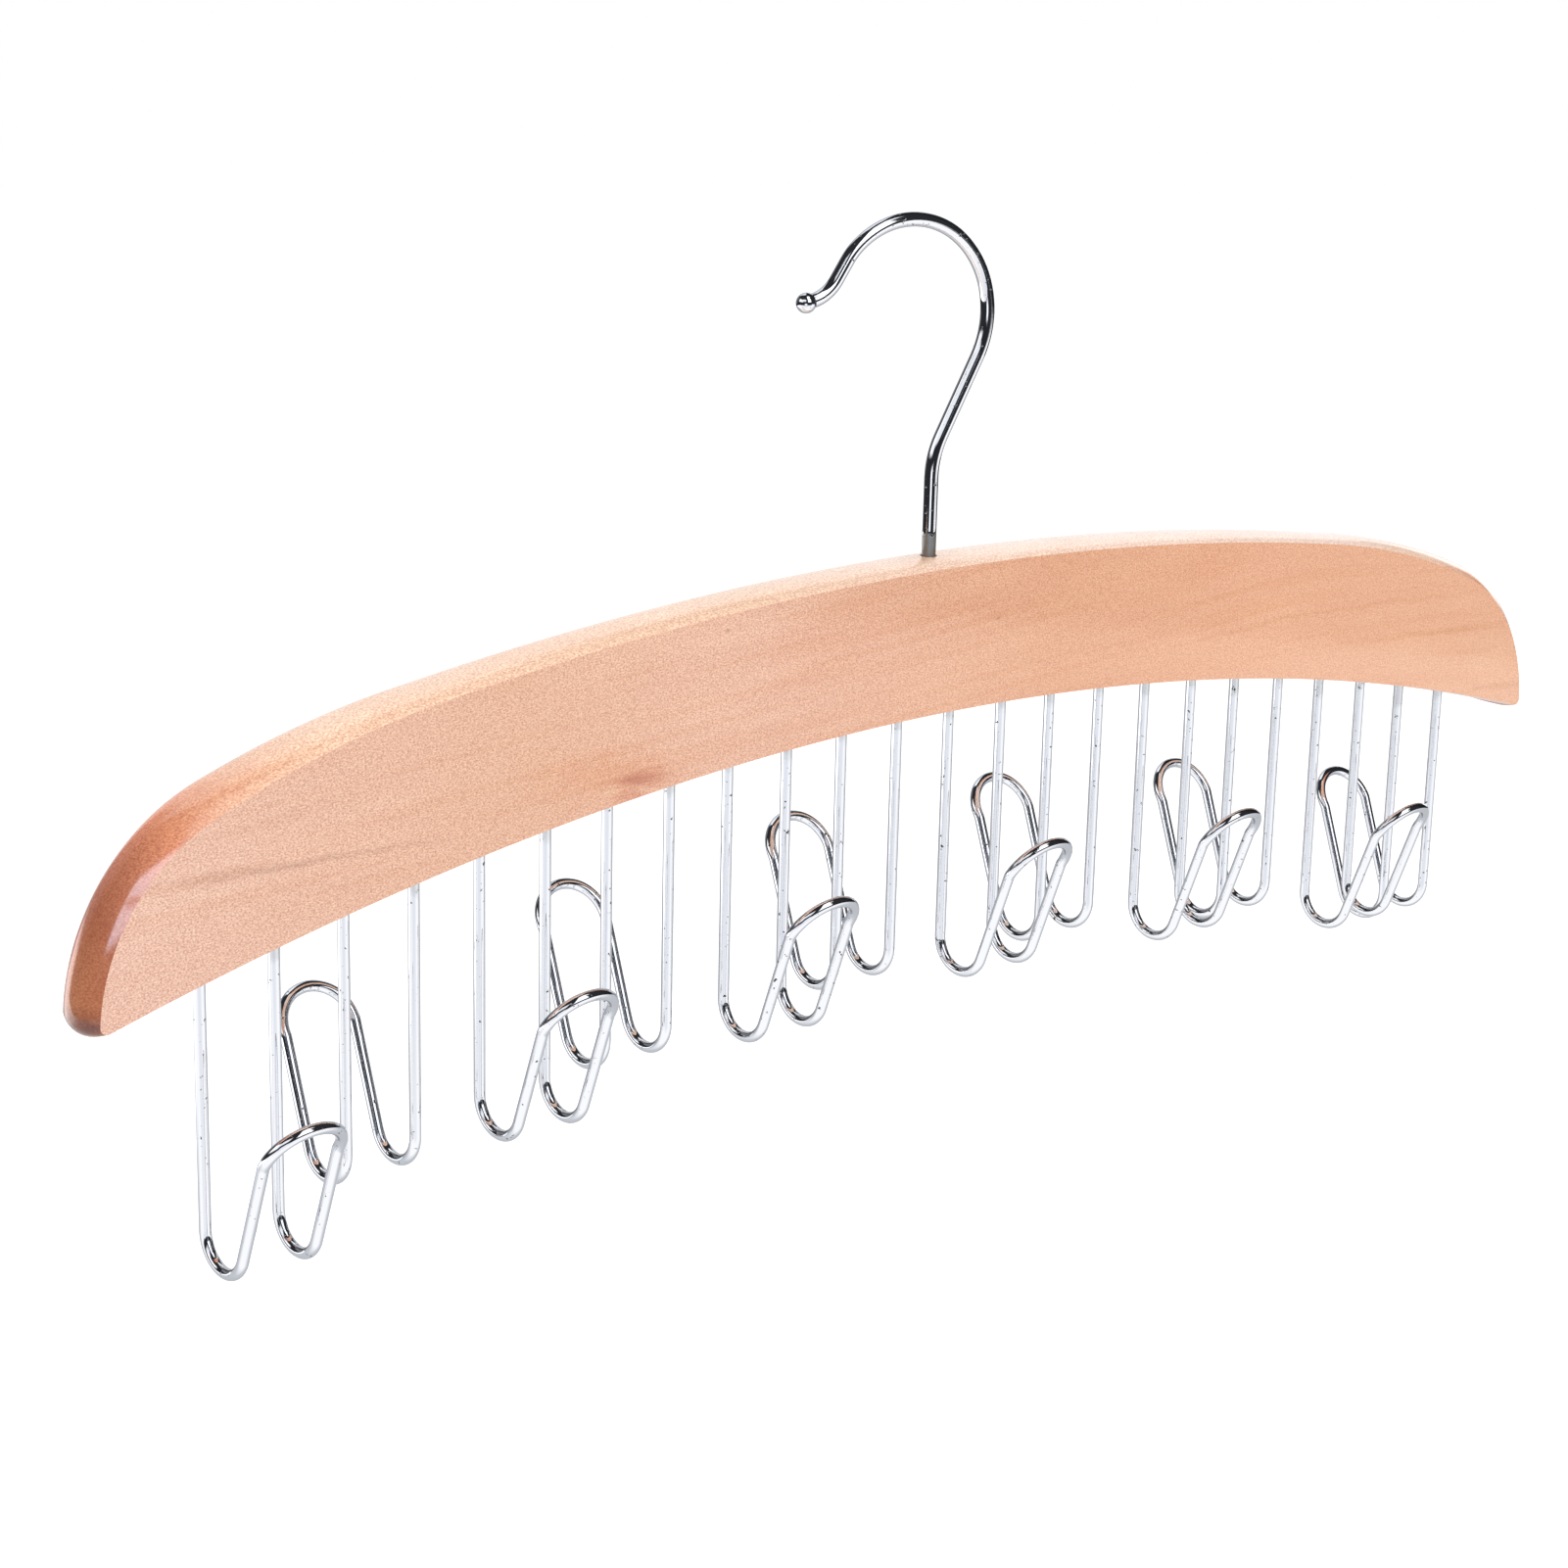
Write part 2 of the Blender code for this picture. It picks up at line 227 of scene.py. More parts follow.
# Each pattern of the wood: its coarseness along, through and across the grain in millimetres, how
# its noise is cut to a mask, and how much red, green and blue it leaves.
MAPLE_PATTERNS = (
    ((46, 20, 13), (0.46, 0.70), (1.03, 1.06, 1.07)),
    ((60, 20, 9), (0.50, 0.72), (0.98, 0.94, 0.91)),
    ((80, 20, 2.4), (0.50, 0.72), (0.97, 0.92, 0.88)),
    ((2.6, 0.4, 0.34), (0.50, 0.78), (0.93, 0.88, 0.86)),
)
PATTERN_DETAIL = 2.0

# The speckle by its coarseness in millimetres. Maple's pores are too fine to show, so it is drawn
# coarser than they are. It is full left of SPECKLE_LEFT_X and weaker at the right.
SPECKLE_SIZE = (0.42, 0.42, 0.27)
SPECKLE_DETAIL = 1.5
SPECKLE_CUT = (0.2, 0.8)
SPECKLE_DARK = (0.77, 0.58, 0.55, 1.0)
SPECKLE_LIGHT = (1.23, 1.42, 1.45, 1.0)
SPECKLE_LEFT_X = -60 * MM
SPECKLE_RIGHT_X = 170 * MM
SPECKLE_RIGHT_SHARE = 0.7
SPECKLE_BUMP = 0.10
SPECKLE_DEPTH = 0.03 * MM

# Marks on the wood, each a soft ellipse: one end and the other as (x, z), half its width, all in
# millimetres, and how much red, green and blue it leaves in the middle.
MAPLE_MARKS = (
    ((-92.0, -98.9), (-71.0, -99.4), 2.7, (0.84, 0.66, 0.60)),
    ((-87.5, -98.9), (-78.0, -99.5), 1.5, (0.84, 0.72, 0.70)),
    ((-90.5, -101.8), (-79.0, -102.9), 2.0, (0.90, 0.74, 0.70)),
    ((-93.0, -100.6), (-83.5, -100.8), 0.8, (1.07, 1.20, 1.18)),
    ((-114.0, -94.6), (-68.0, -98.8), 6.5, (0.97, 0.86, 0.77)),
    ((-194.0, -100.7), (-150.0, -102.3), 1.6, (0.86, 0.81, 0.79)),
    ((-176.0, -101.3), (-124.0, -103.4), 1.0, (0.88, 0.83, 0.81)),
    ((-188.0, -95.2), (-136.0, -90.4), 1.2, (0.95, 0.91, 0.89)),
    ((60.0, -94.6), (125.0, -91.0), 0.8, (0.95, 0.90, 0.85)),
    ((92.0, -91.4), (184.0, -94.2), 0.9, (0.95, 0.89, 0.84)),
    ((126.0, -100.4), (198.0, -104.8), 0.9, (0.95, 0.90, 0.85)),
    ((174.0, -119.1), (206.0, -120.6), 1.0, (0.92, 0.86, 0.80)),
    ((-61.4, -73.1), (-60.0, -73.1), 0.5, (0.66, 0.58, 0.55)),
    ((13.4, -80.8), (14.8, -80.8), 0.5, (0.66, 0.58, 0.55)),
)
# A dark blot on the edge surface, at the lower tip of the left end.
BLOT = ((-206.0, -124.0), (-197.2, -124.4), 3.0, (0.34, 0.22, 0.26))
# A scuff on the left end, where less of the lacquer is left.
SCUFF = ((-194.2, -103.6), (-191.2, -101.4), 1.0)
SCUFFED_COAT = 0.25
# Noise makes the rim of a mark ragged, and moves the places of all marks a little.
MARK_GRAIN = (4, 2, 0.8)
MARK_RIM = 1.7
MARK_CORE = 0.5
WAVER_SIZE = 14 * MM
WAVER = 3.4 * MM
NOISE_MIDDLE = (0.5, 0.5, 0.5)

# The rear half of the bar is warmer towards both ends.
REAR_WARMTH = (1.20, 1.05, 1.03)
REAR_BLEND_Y = 3 * MM
WARM_START_X = 165 * MM
WARM_FULL_X = 190 * MM


def ground_colour(tree, x, stops):
    """The colour at x that goes through stops, each (millimetres, colour)."""
    share = add_node(
        tree, "ShaderNodeMapRange",
        {"From Min": -COLOURED_REACH * MM, "From Max": COLOURED_REACH * MM}, {"Value": x},
    )
    ramp = add_node(tree, "ShaderNodeValToRGB", links={"Fac": share.outputs[0]})
    width = 2 * COLOURED_REACH
    set_stops(ramp.color_ramp, [((place + COLOURED_REACH) / width, colour) for place, colour in stops])
    return ramp.outputs[0]


def edge_share(tree):
    """1 on the edge surface and 0 on the flat faces."""
    normal = add_node(tree, "ShaderNodeTexCoord").outputs["Normal"]
    apart = add_node(tree, "ShaderNodeSeparateXYZ", links={0: normal}).outputs
    facing = add_node(tree, "ShaderNodeMath", {"operation": "ABSOLUTE"}, {0: apart["Y"]})
    return add_node(
        tree, "ShaderNodeMapRange",
        {"interpolation_type": "SMOOTHSTEP", "From Min": EDGE_START_FACING, "From Max": EDGE_FULL_FACING},
        {"Value": facing.outputs[0]},
    ).outputs[0]


def wood_noise(tree, place, coarseness, detail):
    """Noise with a coarseness in millimetres along each axis of place."""
    scale = [1 / (size * MM) for size in coarseness]
    scaled = add_node(tree, "ShaderNodeMapping", {"Scale": scale}, {"Vector": place})
    return add_node(
        tree, "ShaderNodeTexNoise", {"Scale": 1.0, "Detail": detail}, {"Vector": scaled.outputs[0]}
    ).outputs[0]


def grain_place(tree, apart):
    """Object coordinates bent so that X follows the grain, which turns at the right."""
    past_turn = add_node(
        tree, "ShaderNodeMath", {"operation": "SUBTRACT", 1: GRAIN_TURN_X}, {0: apart["X"]}
    )
    turned = add_node(
        tree, "ShaderNodeMath", {"operation": "SMOOTH_MAX", 1: 0.0, 2: GRAIN_TURN_BLEND},
        {0: past_turn.outputs[0]},
    )
    level = add_node(
        tree, "ShaderNodeMath", {"operation": "MULTIPLY_ADD", 1: -GRAIN_SLOPE},
        {0: apart["X"], 2: apart["Z"]},
    )
    height = add_node(
        tree, "ShaderNodeMath", {"operation": "MULTIPLY_ADD", 1: GRAIN_TURN_BACK},
        {0: turned.outputs[0], 2: level.outputs[0]},
    )
    return add_node(
        tree, "ShaderNodeCombineXYZ",
        links={"X": apart["X"], "Y": apart["Y"], "Z": height.outputs[0]},
    ).outputs[0]


def mark_place(tree, place):
    """Place without its depth, wavering a little as grain does."""
    wave = add_node(
        tree, "ShaderNodeTexNoise", {"Scale": 1 / WAVER_SIZE, "Detail": PATTERN_DETAIL}, {"Vector": place}
    )
    centred = add_node(
        tree, "ShaderNodeVectorMath", {"operation": "SUBTRACT", 1: NOISE_MIDDLE},
        {0: wave.outputs["Color"]},
    )
    waved = add_node(
        tree, "ShaderNodeVectorMath", {"operation": "MULTIPLY_ADD", 1: (WAVER, WAVER, WAVER)},
        {0: centred.outputs[0], 2: place},
    )
    return add_node(
        tree, "ShaderNodeVectorMath", {"operation": "MULTIPLY", 1: (1, 0, 1)}, {0: waved.outputs[0]}
    ).outputs[0]


def mark_share(tree, flat_place, mark):
    """How strongly a mark shows at flat_place, which has no depth: 1 in its middle and 0 round it."""
    ends = [Vector((x * MM, 0, z * MM)) for x, z in mark[:2]]
    half = (ends[1] - ends[0]) / 2
    across = Vector((-half.z, 0, half.x)).normalized() / (mark[2] * MM)
    offset = add_node(
        tree, "ShaderNodeVectorMath", {"operation": "SUBTRACT", 1: (ends[0] + ends[1]) / 2},
        {0: flat_place},
    )
    reaches = []
    for axis in (half / half.length_squared, across):
        reach = add_node(
            tree, "ShaderNodeVectorMath", {"operation": "DOT_PRODUCT", 1: axis}, {0: offset.outputs[0]}
        )
        reaches.append(reach.outputs["Value"])
    round_place = add_node(tree, "ShaderNodeCombineXYZ", links={"X": reaches[0], "Y": reaches[1]})
    distance = add_node(
        tree, "ShaderNodeVectorMath", {"operation": "LENGTH"}, {0: round_place.outputs[0]}
    )
    ragged = add_node(
        tree, "ShaderNodeMath", {"operation": "ADD"},
        {0: wood_noise(tree, flat_place, MARK_GRAIN, PATTERN_DETAIL), 1: distance.outputs["Value"]},
    )
    return add_node(
        tree, "ShaderNodeMapRange",
        {"interpolation_type": "SMOOTHSTEP", "From Min": MARK_RIM, "From Max": MARK_CORE},
        {"Value": ragged.outputs[0]},
    ).outputs[0]


def rear_end_share(tree, apart):
    """1 in the rear half of the bar's two ends and 0 elsewhere."""
    reach = add_node(tree, "ShaderNodeMath", {"operation": "ABSOLUTE"}, {0: apart["X"]})
    end = add_node(
        tree, "ShaderNodeMapRange",
        {"interpolation_type": "SMOOTHSTEP", "From Min": WARM_START_X, "From Max": WARM_FULL_X},
        {"Value": reach.outputs[0]},
    )
    rear = add_node(
        tree, "ShaderNodeMapRange",
        {"interpolation_type": "SMOOTHSTEP", "From Min": -REAR_BLEND_Y, "From Max": REAR_BLEND_Y},
        {"Value": apart["Y"]},
    )
    return add_node(
        tree, "ShaderNodeMath", {"operation": "MULTIPLY"}, {0: end.outputs[0], 1: rear.outputs[0]}
    ).outputs[0]


def maple_stains(tree, apart, edge, flat_place):
    """What changes the ground colour, as (red, green and blue that it leaves, where it shows)."""
    stains = []
    bent = grain_place(tree, apart)
    for coarseness, (low, high), stain in MAPLE_PATTERNS:
        share = add_node(
            tree, "ShaderNodeMapRange",
            {"interpolation_type": "SMOOTHSTEP", "From Min": low, "From Max": high},
            {"Value": wood_noise(tree, bent, coarseness, PATTERN_DETAIL)},
        )
        stains.append((stain, share.outputs[0]))
    for mark in MAPLE_MARKS:
        stains.append((mark[3], mark_share(tree, flat_place, mark)))
    blot = add_node(
        tree, "ShaderNodeMath", {"operation": "MULTIPLY"},
        {0: mark_share(tree, flat_place, BLOT), 1: edge},
    )
    stains.append((BLOT[3], blot.outputs[0]))
    stains.append((REAR_WARMTH, rear_end_share(tree, apart)))
    return stains


def maple_colour(tree, apart, edge, flat_place):
    """The ground colour of the faces and of the edge surface, the latter with painted light and shade, and
    every stain on it.
    """
    ground = [ground_colour(tree, apart["X"], stops) for stops in (FACE_COLOURS, EDGE_COLOURS_AND_PAINTED_LIGHT)]
    colour = add_node(
        tree, "ShaderNodeMixRGB", links={"Fac": edge, "Color1": ground[0], "Color2": ground[1]}
    )
    for stain, share in maple_stains(tree, apart, edge, flat_place):
        colour = add_node(
            tree, "ShaderNodeMixRGB", {"blend_type": "MULTIPLY", "Color2": (*stain, 1.0)},
            {"Fac": share, "Color1": colour.outputs[0]},
        )
    return colour.outputs[0]


def speckled(tree, apart, speckle, colour):
    """The colour with the noise of the speckle on it."""
    speck = add_node(
        tree, "ShaderNodeMapRange",
        {"interpolation_type": "SMOOTHSTEP", "From Min": SPECKLE_CUT[0], "From Max": SPECKLE_CUT[1]},
        {"Value": speckle},
    )
    tint = add_node(
        tree, "ShaderNodeMixRGB", {"Color1": SPECKLE_DARK, "Color2": SPECKLE_LIGHT},
        {"Fac": speck.outputs[0]},
    )
    share = add_node(
        tree, "ShaderNodeMapRange",
        {
            "From Min": SPECKLE_LEFT_X, "From Max": SPECKLE_RIGHT_X,
            "To Min": 1.0, "To Max": SPECKLE_RIGHT_SHARE,
        },
        {"Value": apart["X"]},
    )
    return add_node(
        tree, "ShaderNodeMixRGB", {"blend_type": "MULTIPLY"},
        {"Fac": share.outputs[0], "Color1": colour, "Color2": tint.outputs[0]},
    ).outputs[0]


def lacquered_maple():
    """The bar's finish: its stained colour with painted light and shade on the edge surface, the speckle
    and the lacquer, which is thin at the scuff.
    """
    material, tree = new_finish("lacquered_maple_satin")
    place = add_node(tree, "ShaderNodeTexCoord").outputs["Object"]
    apart = add_node(tree, "ShaderNodeSeparateXYZ", links={0: place}).outputs
    flat_place = mark_place(tree, place)
    colour = maple_colour(tree, apart, edge_share(tree), flat_place)
    speckle = wood_noise(tree, place, SPECKLE_SIZE, SPECKLE_DETAIL)
    bump = add_node(
        tree, "ShaderNodeBump", {"Strength": SPECKLE_BUMP, "Distance": SPECKLE_DEPTH},
        {"Height": speckle},
    )
    coat = add_node(
        tree, "ShaderNodeMapRange", {"To Min": 1.0, "To Max": SCUFFED_COAT},
        {"Value": mark_share(tree, flat_place, SCUFF)},
    )
    shader = add_node(
        tree, "ShaderNodeBsdfPrincipled", LACQUERED_WOOD,
        {
            "Base Color": speckled(tree, apart, speckle, colour),
            "Normal": bump.outputs[0], "Coat Weight": coat.outputs[0],
        },
    )
    add_node(tree, "ShaderNodeOutputMaterial", links={"Surface": shader.outputs[0]})
    return material


# Bright chrome: plated over drawn steel wire. It mirrors the white studio with a cool cast, and
# has fine orange peel, small dark pits and a dull grey, unbuffed stretch where it enters the wood.
# Its tint by how far the surface turns away is painted reflection over a cool cast: bluish in the
# middle, then a painted pale band, and a painted thin grey line at the rim.
CHROME_PAINTED_REFLECTION_BY_TURN = (
    (0.0, linear("E1E5EE")),
    (0.05, linear("E1E5EE")),
    (0.13, linear("FAFBFF")),
    (0.28, linear("FAFBFF")),
    (0.44, linear("C2C6CE")),
    (0.75, linear("A4A7AE")),
)
TURN_BLEND = 0.5
# The peel and the pits of real chrome are too fine to show, so both are drawn coarser.
PEEL_SIZE = 0.5 * MM
PEEL_DETAIL = 1.0
PEEL_DEPTH = 0.02 * MM
CHROME_PIT = linear("4A4640")
PIT_SIZE = 0.9 * MM
PIT_DETAIL = 3.0
PIT_CUT = (0.655, 0.71)
PIT_BUMP = 0.6
PIT_DEPTH = 0.05 * MM
# Where each kind of wire turns dull, as the height in its own frame where that starts and is full,
# how dull it gets, and how strong its peel is.
CHROME_DULL = linear("9C9F9A")
DULL_ROUGHNESS = 0.45
DULL_RAGGED = 3.0 * MM
HOOK_DULL_Z = (7.0 * MM, 5.6 * MM)
HOOK_DULLNESS = 0.8
HOOK_PEEL = 0.22
BELT_DULL_Z = (-3.0 * MM, -0.5 * MM)
BELT_DULLNESS = 0.3
BELT_PEEL = 0.14


def chrome_colour(tree, dull, pit):
    """The painted reflection by how far the surface turns away, with the dull stretch and the pits over it.
    """
    turned = add_node(tree, "ShaderNodeLayerWeight", {"Blend": TURN_BLEND})
    colour = add_node(tree, "ShaderNodeValToRGB", links={"Fac": turned.outputs["Facing"]})
    set_stops(colour.color_ramp, CHROME_PAINTED_REFLECTION_BY_TURN)
    for tone, share in ((CHROME_DULL, dull), (CHROME_PIT, pit)):
        colour = add_node(
            tree, "ShaderNodeMixRGB", {"Color2": tone}, {"Fac": share, "Color1": colour.outputs[0]}
        )
    return colour.outputs[0]


def chrome_bump(tree, peel, peel_strength, pit):
    """The orange peel with the pits sunk into it."""
    peel_bump = add_node(
        tree, "ShaderNodeBump", {"Strength": peel_strength, "Distance": PEEL_DEPTH}, {"Height": peel}
    )
    return add_node(
        tree, "ShaderNodeBump", {"Strength": PIT_BUMP, "Distance": PIT_DEPTH, "invert": True},
        {"Height": pit, "Normal": peel_bump.outputs[0]},
    ).outputs[0]


def bright_chrome(name, dull_z, dullness, peel_strength):
    """Chrome that turns dull between the two heights in dull_z, in the piece's own frame."""
    material, tree = new_finish(name)
    place = add_node(tree, "ShaderNodeTexCoord").outputs["Object"]
    lot = add_node(tree, "ShaderNodeObjectInfo").outputs["Random"]
    peel, pits = [
        add_node(
            tree, "ShaderNodeTexNoise", {"noise_dimensions": "4D", "Scale": 1 / size, "Detail": detail},
            {"Vector": place, "W": lot},
        ).outputs[0]
        for size, detail in ((PEEL_SIZE, PEEL_DETAIL), (PIT_SIZE, PIT_DETAIL))
    ]
    pit = add_node(
        tree, "ShaderNodeMapRange",
        {"interpolation_type": "SMOOTHSTEP", "From Min": PIT_CUT[0], "From Max": PIT_CUT[1]},
        {"Value": pits},
    ).outputs[0]
    height = add_node(tree, "ShaderNodeSeparateXYZ", links={0: place}).outputs["Z"]
    ragged = add_node(
        tree, "ShaderNodeMath", {"operation": "MULTIPLY_ADD", 1: DULL_RAGGED}, {0: pits, 2: height}
    )
    dull = add_node(
        tree, "ShaderNodeMapRange",
        {
            "interpolation_type": "SMOOTHSTEP",
            "From Min": dull_z[0], "From Max": dull_z[1], "To Max": dullness,
        },
        {"Value": ragged.outputs[0]},
    ).outputs[0]
    roughness = add_node(
        tree, "ShaderNodeMapRange", {"To Min": 0.0, "To Max": DULL_ROUGHNESS}, {"Value": dull}
    )
    shader = add_node(
        tree, "ShaderNodeBsdfPrincipled", {"Metallic": 1.0},
        {
            "Base Color": chrome_colour(tree, dull, pit), "Roughness": roughness.outputs[0],
            "Normal": chrome_bump(tree, peel, peel_strength, pit),
        },
    )
    add_node(tree, "ShaderNodeOutputMaterial", links={"Surface": shader.outputs[0]})
    return material


# Zinc-plated steel: barrel-plated small hardware. A soft grey metal with a faint crystal mottle.
ZINC_PALE = linear("CFCFCB")
ZINC_DARK = linear("A3A39E")
ZINC_ROUGHNESS = 0.34
ZINC_SPANGLE = 0.7 * MM
ZINC_BUMP = 0.2
ZINC_DEPTH = 0.02 * MM


def zinc_plated_steel():
    """The finish of the washer and the nut."""
    material, tree = new_finish("zinc_plated_steel_barrel")
    place = add_node(tree, "ShaderNodeTexCoord").outputs["Object"]
    spangle = add_node(
        tree, "ShaderNodeTexVoronoi", {"Scale": 1 / ZINC_SPANGLE}, {"Vector": place}
    ).outputs["Distance"]
    colour = add_node(
        tree, "ShaderNodeMixRGB", {"Color1": ZINC_PALE, "Color2": ZINC_DARK}, {"Fac": spangle}
    )
    bump = add_node(
        tree, "ShaderNodeBump", {"Strength": ZINC_BUMP, "Distance": ZINC_DEPTH}, {"Height": spangle}
    )
    shader = add_node(
        tree, "ShaderNodeBsdfPrincipled", {"Metallic": 1.0, "Roughness": ZINC_ROUGHNESS},
        {"Base Color": colour.outputs[0], "Normal": bump.outputs[0]},
    )
    add_node(tree, "ShaderNodeOutputMaterial", links={"Surface": shader.outputs[0]})
    return material


# Places read from the frame
BAR_LOW, BAR_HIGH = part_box("hanger_bar")
HOOK_LOW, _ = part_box("swivel_hook")
WASHER_LOW, WASHER_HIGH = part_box("stem_washer")
NUT_LOW, NUT_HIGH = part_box("stem_nut")
BAR_THICKNESS = BAR_HIGH.y - BAR_LOW.y
BAR_TOP_Z = BAR_HIGH.z
FACE_TOP_Z = BAR_TOP_Z - TOP_CROWN
FACE_BOTTOM_Z = FACE_TOP_Z - FACE_HEIGHT
UNDERSIDE_Z = FACE_BOTTOM_Z - UNDERSIDE_CROWN
COUNTERBORE_TOP_Z = UNDERSIDE_Z + COUNTERBORE_DEPTH


def add_piece(name, mesh, finish, node):
    """A piece that stands for a CAD node, shaded smooth. The CAD node is hidden."""
    mesh.materials.append(finish)
    mesh.shade_smooth()
    piece = bpy.data.objects.new(name, mesh)
    bpy.context.scene.collection.objects.link(piece)
    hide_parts(node)
    return piece


# The bar


def arc_run(centre, radius, start, stop, steps, crown_start, crown_stop, side=1):
    """Points along an arc as (point, outward normal, crown), angles from +X. Side -1 is a hollow arc."""
    run = []
    for index in range(steps + 1):
        share = index / steps
        angle = start + (stop - start) * share
        spoke = Vector((math.cos(angle), math.sin(angle)))
        crown = crown_start + (crown_stop - crown_start) * share
        run.append((centre + spoke * radius, spoke * side, crown))
    return run


def circle_meeting(centre_a, radius_a, centre_b, radius_b):
    """The meeting point with the larger x of two circles."""
    between = centre_b - centre_a
    apart = between.length
    along = (radius_a ** 2 - radius_b ** 2 + apart ** 2) / (2 * apart)
    across = math.sqrt(radius_a ** 2 - along ** 2)
    unit = between / apart
    foot = centre_a + unit * along
    side = Vector((-unit.y, unit.x)) * across
    return max(foot + side, foot - side, key=lambda point: point.x)


def bearing(vector):
    return math.atan2(vector.y, vector.x)


def top_sweep():
    """Half the angle of the long top arc, from the span of the front face."""
    end_sine = math.sin(FRONT_START_ANGLE)
    reach = FACE_SPAN / 2 - SHOULDER_RADIUS * end_sine - END_RADIUS * (1 - end_sine)
    return math.asin(reach / (TOP_RADIUS - SHOULDER_RADIUS))


def half_outline(start_angle, fillet):
    """The right half of a face's outline, from the top's middle round the tip to the underside's."""
    upright = math.pi / 2
    top_stop = upright - top_sweep()
    end_start = upright - start_angle
    top_centre = Vector((0, FACE_TOP_Z - TOP_RADIUS))
    lean = Vector((math.cos(top_stop), math.sin(top_stop)))
    shoulder_centre = top_centre + lean * (TOP_RADIUS - SHOULDER_RADIUS)
    lean = Vector((math.cos(end_start), math.sin(end_start)))
    end_centre = shoulder_centre + lean * (SHOULDER_RADIUS - END_RADIUS)
    under_centre = Vector((0, FACE_BOTTOM_Z - UNDERSIDE_RADIUS))
    fillet_centre = circle_meeting(end_centre, END_RADIUS - fillet, under_centre, UNDERSIDE_RADIUS + fillet)
    end_stop = bearing(fillet_centre - end_centre)
    under_start = bearing(fillet_centre - under_centre)

    top = TOP_CROWN
    end = END_CROWN
    under = UNDERSIDE_CROWN
    runs = [
        arc_run(top_centre, TOP_RADIUS, upright, top_stop, TOP_STEPS, top, top),
        arc_run(shoulder_centre, SHOULDER_RADIUS, top_stop, end_start, SHOULDER_STEPS, top, end),
        arc_run(end_centre, END_RADIUS, end_start, end_stop, END_STEPS, end, end),
        arc_run(fillet_centre, fillet, end_stop, under_start - math.pi, FILLET_STEPS, end, under),
        arc_run(under_centre, UNDERSIDE_RADIUS, under_start, upright, UNDERSIDE_STEPS, under, under, -1),
    ]
    outline = list(runs[0])
    for run in runs[1:]:
        outline += run[1:]
    return outline


def full_outline(start_angle, fillet):
    right = half_outline(start_angle, fillet)
    left = []
    for point, normal, crown in reversed(right[1:-1]):
        left.append((Vector((-point.x, point.y)), Vector((-normal.x, normal.y)), crown))
    return right + left


def edge_layer(angle):
    """Depth from mid-thickness, share of the crown and share of the back's outline, for one layer."""
    depth = -math.cos(angle)
    back_share = ((1 + depth) / 2) ** BACK_POWER
    return depth * BAR_THICKNESS / 2, 1 - abs(depth) ** CROWN_POWER, back_share


def bar_blank():
    """The bar before it is drilled, lofted from its front outline to its back one."""
    front = full_outline(FRONT_START_ANGLE, FRONT_FILLET)
    back = full_outline(BACK_START_ANGLE, BACK_FILLET)
    shape = bmesh.new()
    loops = []
    for layer in range(EDGE_LAYERS + 1):
        depth, crown_share, back_share = edge_layer(math.pi * layer / EDGE_LAYERS)
        ring = []
        for (point, normal, crown), (back_point, _, _) in zip(front, back):
            place = point.lerp(back_point, back_share) + normal * crown * crown_share
            ring.append(shape.verts.new((place.x, depth, place.y)))
        loops.append(ring)
    count = len(front)
    for near, far in zip(loops, loops[1:]):
        for index in range(count):
            after = (index + 1) % count
            shape.faces.new((near[index], near[after], far[after], far[index]))
    shape.faces.new(loops[0][::-1])
    shape.faces.new(loops[-1])
    bmesh.ops.recalc_face_normals(shape, faces=shape.faces)
    return shape


def mesh_from(name, shape):
    mesh = bpy.data.meshes.new(name)
    shape.to_mesh(mesh)
    shape.free()
    return mesh


def underside_at(x):
    """Height of the wood's underside at mid-thickness, x from the middle of the bar."""
    radius = UNDERSIDE_RADIUS - UNDERSIDE_CROWN
    return UNDERSIDE_Z - radius + math.sqrt(radius ** 2 - x ** 2)


def add_bore(shape, x, bottom, top, radius, sides):
    place = Matrix.Translation((x, 0, (bottom + top) / 2))
    bmesh.ops.create_cone(
        shape, cap_ends=True, segments=sides, radius1=radius, radius2=radius,
        depth=top - bottom, matrix=place,
    )


def leg_bores():
    shape = bmesh.new()
    for name in belt_hook_names():
        low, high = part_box(name)
        middle = (low.x + high.x) / 2
        mouth = underside_at(middle)
        for side in (-1, 1):
            x = middle + side * LEG_SPACING / 2
            top = mouth + LEG_DEPTH + CLEARANCE
            add_bore(shape, x, mouth - OVERRUN, top, BELT_WIRE / 2 + CLEARANCE, HOLE_SIDES)
    return shape


def stem_bore():
    shape = bmesh.new()
    add_bore(shape, 0, UNDERSIDE_Z - OVERRUN, BAR_TOP_Z + OVERRUN, HOOK_WIRE / 2 + CLEARANCE, HOLE_SIDES)
    return shape


def counterbore():
    shape = bmesh.new()
    add_bore(shape, 0, UNDERSIDE_Z - OVERRUN, COUNTERBORE_TOP_Z, COUNTERBORE_RADIUS, TURNED_SIDES)
    return shape


def keep_shown_mesh(piece):
    """Gives the piece the mesh that its modifiers make, and drops them."""
    shown = piece.evaluated_get(bpy.context.evaluated_depsgraph_get())
    mesh = bpy.data.meshes.new_from_object(shown)
    piece.modifiers.clear()
    piece.data = mesh


def drill(piece, bores):
    """Cuts each bore out of the piece."""
    cutters = []
    for index, shape in enumerate(bores):
        cutter = bpy.data.objects.new(f"bore_{index}", mesh_from(f"bore_{index}", shape))
        bpy.context.scene.collection.objects.link(cutter)
        cutters.append(cutter)
        cut = piece.modifiers.new(cutter.name, "BOOLEAN")
        cut.operation = "DIFFERENCE"
        cut.solver = "EXACT"
        cut.object = cutter
    keep_shown_mesh(piece)
    for cutter in cutters:
        bpy.data.objects.remove(cutter, do_unlink=True)


